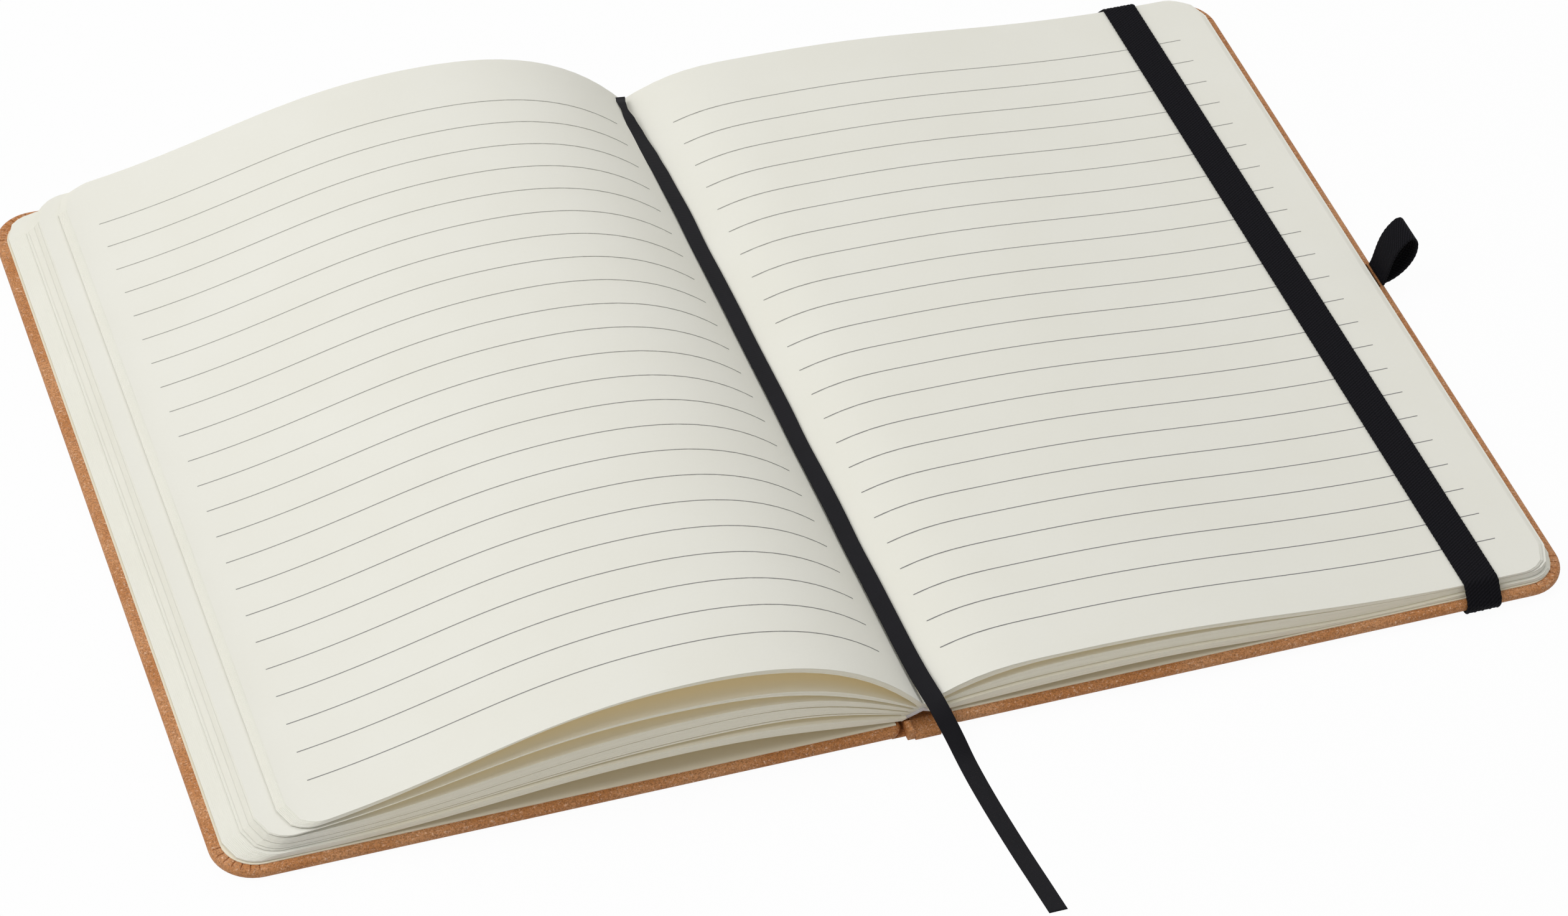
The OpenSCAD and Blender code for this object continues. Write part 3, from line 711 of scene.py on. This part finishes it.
def fan_side(side, groups, name):
    """All leaves of one side as one piece, and the side's top line for the ruling."""
    parts, lines = [], []
    for label, (upper, lower, leaves) in groups.items():
        high = line_curve(name + label + "_high", upper, side)
        low = line_curve(name + label + "_low", lower, side)
        lines += [high, low]
        runs = {label: fan_values(high, low, leaves, side)}
        if label == "low":
            runs[label]["Half height"] += LOW_LEDGE
        if label == "top":
            # The page that shows is a run of its own on a finer grid, so that the ruling can follow it
            runs["page"] = fan_values(high, low, 1, side, Inner=0.0, Ragged=0.0, **{"Leaf thickness": LEAF_T})
            runs["top"].update({"Leaves": leaves - 1, "Filled share": 1 - 1 / leaves})
        for part, values in runs.items():
            blank = blank_slab("blank_leaf", LEAF_STATIONS, PAGE_STATIONS if part == "page" else HEIGHT_STATIONS)
            if side < 0:
                blank.flip_normals()
            parts.append(run_tree(fan, blank, name + part, values))
    piece = join(name, parts)
    for face in piece.data.polygons:
        face.use_smooth = True
    piece.data.set_sharp_from_angle(angle=math.radians(35))
    return piece, lines


left_leaves, left_lines = fan_side(-1, LEFT_GROUPS, "left_leaves")
right_leaves, right_lines = fan_side(1, RIGHT_GROUPS, "right_leaves")
for piece in (left_leaves, right_leaves):
    print(piece.name, len(piece.data.polygons), "faces")

# %% [markdown]
# ## The ruling
# Ruled lines are ink, but as a picture they would blur, so each is a strip of ink a hundredth of a
# millimetre thick that lies on the top leaf. The strips are drawn on the same unit sheet as the blank
# leaf and go through the same tree, so they follow every bend and wave of the paper.

# %% Ruled lines
RULED_LINES = 23
RULE_PITCH = 8.59
FIRST_RULE_Y = 92.4
RULE_T = 0.22
LEFT_RULE_X, RIGHT_RULE_X = (5.9, 135.2), (8.8, 144.6)
LEFT_RULE_TURN = 0.005
# Underside and top of the ink, counted in thicknesses of the leaf that it lies on
INK_LOW, INK_HIGH = 1.15, 1.6


def share_at(points, x):
    """Share of a line's length at which it reaches x."""
    run, total, found = 0.0, 0.0, None
    for a, b in zip(points, points[1:]):
        step = (b - a).length
        if found is None and b.x >= x:
            found = total + step * (x - a.x) / (b.x - a.x)
        total += step
    return found / total


def ruling(side, line_spec, reach, turn, name, lines):
    points = leaf_line(*line_spec)
    first, last = (share_at(points, x) for x in reach)
    strips = []
    for row in range(RULED_LINES):
        y = FIRST_RULE_Y - row * RULE_PITCH
        along = [first + (last - first) * i / 60 for i in range(61)]
        strip = blank_slab("ink", along, (-RULE_T / 2 / PAGE_HALF, RULE_T / 2 / PAGE_HALF), INK_LOW, INK_HIGH)
        for vertex in strip.vertices:
            drop = turn * (vertex.co.x - 0.5) * reach[1]
            vertex.co.y += (y + drop) / PAGE_HALF
        strips.append(bpy.data.objects.new("strip", strip))
        scene.collection.objects.link(strips[-1])
    sheet = join(name + "_blank", strips)
    mesh = sheet.data
    if side < 0:
        mesh.flip_normals()
    bpy.data.objects.remove(sheet)
    values = fan_values(lines[0], lines[1], 1, side, Material=finishes["ink"], Ragged=0.0,
                        **{"Leaf thickness": LEAF_T, "Corner radius": 0.001 * MM})
    return run_tree(fan, mesh, name, values)


left_ruling = ruling(-1, LEFT_GROUPS["top"][0], LEFT_RULE_X, LEFT_RULE_TURN, "left_ruling", left_lines)
right_ruling = ruling(1, RIGHT_GROUPS["top"][0], RIGHT_RULE_X, 0.0, "right_ruling", right_lines)

# %% [markdown]
# ## The glued backs
# Behind the fan the leaves are glued into one flexible spine, which opens into a low upturned V. A plain
# extruded outline is enough, because only its two ends show.

# %% Glued backs
GLUE_T = 1.2
SPINE_UNDER = [(-4.2, 0.25), (0.8, 2.2), (4.4, 0.9)]


def prism(name, outline, low, high, axes, material):
    """A closed prism, in millimetres: its outline lies along the first two axes, its length along the third."""
    points = []
    for level in (low, high):
        for pair in outline:
            spot = dict(zip(axes, (*pair, level)))
            points.append([spot[axis] * MM for axis in "XYZ"])
    count = len(outline)
    faces = [tuple(range(count)), tuple(range(count, 2 * count))]
    faces += [(i, i + count, (i + 1) % count + count, (i + 1) % count) for i in range(count)]
    mesh = bpy.data.meshes.new(name)
    mesh.from_pydata(points, [], faces)
    shell = bmesh.new()
    shell.from_mesh(mesh)
    bmesh.ops.recalc_face_normals(shell, faces=shell.faces)
    shell.to_mesh(mesh)
    shell.free()
    mesh.materials.append(material)
    piece = bpy.data.objects.new(name, mesh)
    scene.collection.objects.link(piece)
    return piece


backs_low = [(x, z + PAGE_Z) for x, z in SPINE_UNDER]
backs_high = [(x, z + PAGE_Z + GLUE_T) for x, z in reversed(SPINE_UNDER)]
backs_half = PAGE_HALF - 0.2
glued_backs = prism("glued_backs", backs_low + backs_high, -backs_half, backs_half, "XZY", finishes["paper"])

# %% [markdown]
# ## The endpapers
# The sheet pasted inside each cover is a hair larger than the leaves. At the tail it shows as a pale line
# below them, which makes the margin of leather look narrow, so each endpaper is drawn here with its real
# edge. A flat prism with two round corners is all that a pasted sheet needs.

# %% Endpapers
ENDPAPER_T = 0.2
ENDPAPER_FORE, ENDPAPER_TAIL, ENDPAPER_HEAD = 156.0, -109.6, 108.5
ENDPAPER_CORNER, CORNER_STEPS = 8.0, 8
# Inner edge and underside of each
FRONT_ENDPAPER, BACK_ENDPAPER = (5.8, 2.6), (7.3, 3.2)


def endpaper(name, side, inner_x, underside):
    centre_x = ENDPAPER_FORE - ENDPAPER_CORNER
    outline = [(inner_x, ENDPAPER_TAIL)]
    for quarter, y in ((-90, ENDPAPER_TAIL + ENDPAPER_CORNER), (0, ENDPAPER_HEAD - ENDPAPER_CORNER)):
        for i in range(CORNER_STEPS + 1):
            turn = math.radians(quarter + 90 * i / CORNER_STEPS)
            outline.append((centre_x + ENDPAPER_CORNER * math.cos(turn), y + ENDPAPER_CORNER * math.sin(turn)))
    outline.append((inner_x, ENDPAPER_HEAD))
    outline = [(side * x, y) for x, y in outline]
    return prism(name, outline, underside, underside + ENDPAPER_T, "XYZ", finishes["endpaper"])


front_endpaper = endpaper("front_endpaper", -1, *FRONT_ENDPAPER)
back_endpaper = endpaper("back_endpaper", 1, *BACK_ENDPAPER)

# %% [markdown]
# ## The ribbed elastic
# The closing band and the pen loop are the same woven elastic, with ribs along it and an edge that zigzags
# with every stitch. A blank strip in unit sizes is bent along the path of each by one tree, which also
# raises the ribs, so both pieces show the same weave at the same scale.

# %% Tree for ribbed elastic
RIBS = 9
STITCH = 1.3 * MM
RIB_HEIGHT = 0.2 * MM
EDGE_ZIGZAG = 0.05 * MM


def elastic_tree():
    tree = Tree("ribbed_elastic", {
        "Path": "Object", "Across": "Vector", "Width": "Float", "Thickness": "Float", "Length": "Float",
        "Ribs": "Float", "Stitch": "Float", "Rib height": "Float", "Zigzag": "Float", "Material": "Material"})
    own = tree.node("GeometryNodeInputPosition")[0]
    unit = tree.node("ShaderNodeSeparateXYZ", {}, {0: own})
    spot, way = tree.on_curve(tree.given("Path"), unit["X"])
    normal = tree.vector("NORMALIZE", tree.vector("CROSS_PRODUCT", way, tree.given("Across")))
    along = tree.math("MULTIPLY", unit["X"], tree.given("Length"))
    turn = tree.math("DIVIDE", tree.math("MULTIPLY", along, 2 * math.pi), tree.given("Stitch"))
    # The ribs are like a braid: neighbours are half a stitch apart
    rib_turn = tree.math("MULTIPLY", tree.math("MULTIPLY", unit["Y"], tree.given("Ribs")), math.pi)
    rib = tree.math("ABSOLUTE", tree.math("COSINE", tree.math("MULTIPLY", rib_turn, 0.5)))
    order = tree.math("FLOOR", tree.math("ADD", tree.math("DIVIDE", rib_turn, 2 * math.pi), 0.5))
    phase = tree.math("ADD", turn, tree.math("MULTIPLY", order, math.pi))
    stitch = tree.math("ADD", tree.math("MULTIPLY", tree.math("SINE", phase), 0.3), 0.7)
    raised = tree.math("MULTIPLY", tree.math("MULTIPLY", rib, stitch), tree.given("Rib height"))
    face = tree.math("SUBTRACT", tree.math("MULTIPLY", unit["Z"], 2), 1)
    through = tree.math("ADD", tree.math("MULTIPLY", tree.given("Thickness"), unit["Z"]),
                        tree.math("MULTIPLY", raised, tree.math("MAXIMUM", face, 0)))
    edge = tree.math("MULTIPLY", tree.math("SINE", turn), tree.given("Zigzag"))
    wide = tree.math("ADD", tree.math("MULTIPLY", tree.given("Width"), 0.5), edge)
    aside = tree.math("MULTIPLY", unit["Y"], wide)
    place = tree.vector("ADD", spot, tree.scaled(normal, through))
    place = tree.vector("ADD", place, tree.scaled(tree.given("Across"), aside))
    flat = tree.node("ShaderNodeCombineXYZ", {}, {"X": aside, "Y": along})[0]
    mapped = tree.node("GeometryNodeStoreNamedAttribute", {"data_type": "FLOAT2", "domain": "CORNER"},
                       {"Geometry": tree.given("Geometry"), "Name": "UVMap", "Value": flat})[0]
    bent = tree.node("GeometryNodeSetPosition", {}, {"Geometry": mapped, "Position": place})[0]
    tree.close(bent, tree.given("Material"))
    return tree


ribbed = elastic_tree()


def elastic_piece(name, points, across, width, thickness, steps_a_mm=2.4):
    """Ribbed elastic along points in millimetres, its outer face to the left of the path."""
    path = curve_object(name + "_path", [Vector(p) * MM for p in points])
    length = sum((Vector(b) - Vector(a)).length for a, b in zip(points, points[1:])) * MM
    count = int(length / MM * steps_a_mm)
    along = [i / count for i in range(count + 1)]
    side = [-1 + i / 21 for i in range(43)]
    blank = blank_slab(name, along, side)
    piece = run_tree(ribbed, blank, name, {
        "Path": path, "Across": tuple(across), "Width": width * MM, "Thickness": thickness * MM,
        "Length": length, "Ribs": float(RIBS), "Stitch": STITCH, "Rib height": RIB_HEIGHT,
        "Zigzag": EDGE_ZIGZAG, "Material": finishes["elastic"]})
    bpy.data.objects.remove(path)
    for face in piece.data.polygons:
        face.use_smooth = True
    return piece


# %% Closing band
BAND_X, BAND_SKEW = 134.8, math.radians(0.35)
BAND_W, BAND_T = 8.4, 0.5
COVER_HALF = 111.5
SLOT_Y = 95.5
BACK_Z, BACK_TOP = 0.6, 3.2
TOP_Z = PAGE_Z + BACK_RISE + 3.1 + 0.08


def rounded_path(corners, radius, steps=6):
    """Points of a path whose corners are rounded, in millimetres."""
    points = [Vector(corners[0])]
    for before, corner, after in zip(corners, corners[1:], corners[2:]):
        corner, into, out = Vector(corner), Vector(before) - Vector(corner), Vector(after) - Vector(corner)
        reach = min(radius, into.length * 0.49, out.length * 0.49)
        a, b = corner + into.normalized() * reach, corner + out.normalized() * reach
        for i in range(steps + 1):
            t = i / steps
            points.append((1 - t) ** 2 * a + 2 * t * (1 - t) * corner + t * t * b)
    return points + [Vector(corners[-1])]


half_path = [(PAGE_HALF - 2, TOP_Z), (PAGE_HALF + 0.1, TOP_Z), (PAGE_HALF + 0.8, TOP_Z - 0.8),
             (COVER_HALF + 0.2, BACK_TOP), (COVER_HALF + 0.35, BACK_Z + 1.3), (COVER_HALF - 0.2, BACK_Z - 0.02),
             (SLOT_Y, BACK_Z - 0.02)]
head_part = [(0, y, z) for y, z in half_path]
tail_part = [(0, -y, z) for y, z in reversed(half_path)]
band_path = rounded_path(tail_part + head_part, 0.7)
turn_z = Matrix.Rotation(BAND_SKEW, 3, "Z")
band_path = [turn_z @ p + Vector((BAND_X, 0, 0)) for p in band_path]
elastic_band = elastic_piece("closing_band", band_path, turn_z @ Vector((-1, 0, 0)), BAND_W, BAND_T)
print("closing band:", len(elastic_band.data.polygons), "faces")

# %% [markdown]
# ## The pen loop
# The pen loop stands up from the back cover's fore-edge, where both its ends are glued between the
# covering and the endpaper. Its own spring makes it a leaning teardrop, drawn here as three Bezier curves.

# %% Pen loop
LOOP_ROOT = Vector((LEAF_REACH + 1.5, 0, BACK_TOP + 0.1))
LOOP_Y, LOOP_W, LOOP_T = -1.4, 8.2, 0.45


def loop_curve(*corners):
    steps = [i / 16 for i in range(17)]
    a, b, c, d = (LOOP_ROOT + Vector((x, LOOP_Y, z)) for x, z in corners)
    return [bezier(a, b, c, d, t) for t in steps]


loop_path = loop_curve((0.6, 0.05), (1.9, 3), (1.2, 8.8), (5.0, 12.6))[:-1]
loop_path += loop_curve((5.0, 12.6), (6.3, 14.2), (8.5, 13.9), (8.6, 10.2))[:-1]
loop_path += loop_curve((8.6, 10.2), (8.8, 5.6), (5.0, 1.4), (0.9, 0.45))
pen_loop = elastic_piece("pen_loop_elastic", loop_path, (0, -1, 0), LOOP_W, LOOP_T, 5)

# %% [markdown]
# ## The bookmark ribbon
# A satin ribbon glued into the spine at the head lies down the gutter, where the two slopes of paper hold
# it up, bends over the tail edge and ends on the table. It is limp, and the photograph shows it from end
# to end. Its centre line goes through a few listed points, joined by a smooth curve, and each
# point has a lean, because the ribbon rests on two slopes.

# %% Bookmark ribbon
RIBBON_W, RIBBON_T = 4.2, 0.16
# Points [x, y, z, lean], the lean being the turn of the left edge upwards, in degrees
RIBBON_ROUTE = [
    (0.2, 107, 9.9, 6), (0.1, 102.5, 9.7, 10), (0.2, 94.5, 9.0, 17), (0.4, 83.5, 8.6, 16),
    (0.6, 72.5, 8.5, 14), (0.9, 60.5, 8.5, 10), (0.8, 48.5, 8.5, 11), (1.0, 36.5, 8.5, 8),
    (1.1, 24.5, 8.5, 6), (1.1, 12.5, 8.5, 6), (1.2, 0.5, 8.5, 4), (1.3, -11.5, 8.5, 2),
    (1.2, -23.5, 8.5, 4), (1.4, -35.5, 8.5, 0), (1.5, -47.5, 8.5, -2), (1.4, -59.5, 8.5, 0),
    (1.6, -71.5, 8.5, -4), (1.7, -83.5, 8.5, -6), (1.8, -93.5, 8.5, -8), (2.0, -101.5, 8.6, -14),
    (2.3, -106.5, 8.7, -20), (2.8, -110, 8.2, -20), (3.6, -113.5, 6.6, -14), (4.9, -117.5, 3.6, -6),
    (5.8, -121.5, 1.2, 0), (6.2, -125.5, 0.35, 0), (6.5, -131.5, 0.2, 0), (7.0, -139.5, 0.2, 0),
    (7.9, -150.5, 0.2, 0), (8.9, -160.5, 0.2, 0), (9.7, -168.5, 0.2, 0)]


# Where the ribbon is pinched between the backs of the leaves at the head: [y, share of its width, x, z],
# the last two being how far it is pushed aside and down there
RIBBON_NECK = [(107, 0.72, -0.7, -1.4), (103.6, 0.5, -0.9, -0.6), (101.4, 0.42, -1.0, -0.3), (97.5, 0.68, -0.9, 0),
               (92.5, 0.98, -0.95, 0), (83, 1, -0.3, 0), (76, 1, 0, 0)]


def pinch(y):
    """Share of the width, and the push aside and down, at a place along the ribbon."""
    for (y1, *upper), (y0, *lower) in zip(RIBBON_NECK, RIBBON_NECK[1:]):
        if y0 <= y <= y1:
            t = (y - y0) / (y1 - y0)
            t = t * t * (3 - 2 * t)
            return [b + (a - b) * t for a, b in zip(upper, lower)]
    return RIBBON_NECK[-1][1:]


def smooth_route(route, steps):
    """Points of a smooth curve through the route, with the lean carried along."""
    points = []
    ends = [route[0], *route, route[-1]]
    for a, b, c, d in zip(ends, ends[1:], ends[2:], ends[3:]):
        for i in range(steps):
            t = i / steps
            points.append([0.5 * (2 * q + (r - p) * t + (2 * p - 5 * q + 4 * r - s) * t * t
                                  + (3 * q - p - 3 * r + s) * t ** 3) for p, q, r, s in zip(a, b, c, d)])
    return points + [list(route[-1])]


def ribbon_piece():
    route = smooth_route(RIBBON_ROUTE, 8)
    pinched = [pinch(p[1]) for p in route]
    centre = [Vector((p[0] + aside, p[1], p[2] + down)) for p, (_, aside, down) in zip(route, pinched)]
    side = [-1, -0.92, -0.6, -0.2, 0.2, 0.6, 0.92, 1]
    points, lengths, run = [], [], 0.0
    for i, spot in enumerate(centre):
        way = (centre[min(i + 1, len(centre) - 1)] - centre[max(i - 1, 0)]).normalized()
        lean = math.radians(route[i][3])
        across = Vector((math.cos(lean), 0, -math.sin(lean)))
        up = across.cross(way).normalized() * -1
        run += (spot - centre[i - 1]).length if i else 0
        lengths.append(run)
        half = pinched[i][0] * RIBBON_W / 2
        for layer in (-0.5, 0.5):
            for s in side:
                points.append((spot + across * s * half + up * layer * RIBBON_T) * MM)
    rows = len(side)
    faces, uvs = [], []
    for i in range(len(centre) - 1):
        for layer in (0, 1):
            for j in range(rows - 1):
                a = i * 2 * rows + layer * rows + j
                quad = (a, a + 1, a + 1 + 2 * rows, a + 2 * rows)
                faces.append(quad if layer == 0 else quad[::-1])
        for j, flip in ((0, False), (rows - 1, True)):
            a = i * 2 * rows + j
            quad = (a, a + 2 * rows, a + 3 * rows, a + rows)
            faces.append(quad[::-1] if flip else quad)
    for i, flip in ((0, False), (len(centre) - 1, True)):
        for j in range(rows - 1):
            a = i * 2 * rows + j
            quad = (a, a + rows, a + rows + 1, a + 1)
            faces.append(quad[::-1] if flip else quad)
    mesh = bpy.data.meshes.new("bookmark_satin")
    mesh.from_pydata(points, [], faces)
    layer = mesh.uv_layers.new(name="UVMap")
    for loop in mesh.loops:
        index = loop.vertex_index
        layer.data[loop.index].uv = (side[index % rows] * RIBBON_W / 2 * MM, lengths[index // (2 * rows)] * MM)
    for face in mesh.polygons:
        face.use_smooth = True
    mesh.materials.append(finishes["ribbon"])
    piece = bpy.data.objects.new("bookmark_satin", mesh)
    scene.collection.objects.link(piece)
    return piece, [p * MM for p in centre], run * MM


ribbon, ribbon_path, ribbon_length = ribbon_piece()
print("ribbon, mm:", round(ribbon_length / MM, 1))

# %% [markdown]
# ## The table
# The table is a wide flat sheet under the notebook. The camera looks through most of it to the white
# background, as in a product photograph, so a cover that is turned down below it still shows. The rest of
# it takes the notebook's soft shadow, and to the lamps it is a solid pale sheet.

# %% Table
TABLE_SIZE = 6.0


def table_finish():
    finish = Finish("white_table")
    tree = finish.tree
    clear = finish.node("ShaderNodeBsdfTransparent")[0]
    cloth = finish.node("ShaderNodeBsdfDiffuse", {}, {"Color": srgb(230, 230, 229)})[0]
    rays = {term.socket.name: term for term in finish.node("ShaderNodeLightPath")}
    seen = rays["Is Camera Ray"]
    for kind in ("Is Glossy Ray", "Is Transmission Ray"):
        seen = seen.math("MAXIMUM", seen, rays[kind])
    both = finish.node("ShaderNodeMixShader", {}, {0: seen * 0.96, 1: cloth, 2: clear})[0]
    tree.links.new(both.socket, tree.nodes["Material Output"].inputs["Surface"])
    return finish.material


table_mesh = bpy.data.meshes.new("table")
reach = TABLE_SIZE / 2
table_mesh.from_pydata([(-reach, -reach, 0), (reach, -reach, 0), (reach, reach, 0), (-reach, reach, 0)],
                       [], [(0, 1, 2, 3)])
table_mesh.materials.append(table_finish())
table = bpy.data.objects.new("table", table_mesh)
table.location.z = -0.0001
scene.collection.objects.link(table)

# %% [markdown]
# ## Riding on the bodies
# The front cover turns at its joint, and the front endpaper rides on it. Everything else keeps to the back cover and
# the block of leaves, so the other new pieces ride on the root body, and the CAD solids that they stand for are
# hidden.

# %% Bodies
for helper in (*left_lines, *right_lines):
    bpy.data.objects.remove(helper)
for piece in (left_leaves, right_leaves, glued_backs):
    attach(piece, "root")
    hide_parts("pages")
for piece in (left_ruling, right_ruling):
    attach(piece, "root")
for piece, body, node in ((front_endpaper, "front_cover", "front_pastedown"), (back_endpaper, "root", "back_pastedown")):
    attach(piece, body)
    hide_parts(node)
for piece, node in ((elastic_band, "elastic_band"), (pen_loop, "pen_loop")):
    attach(piece, "root")
    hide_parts(node)
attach(ribbon, "root")
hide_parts("bookmark_ribbon")
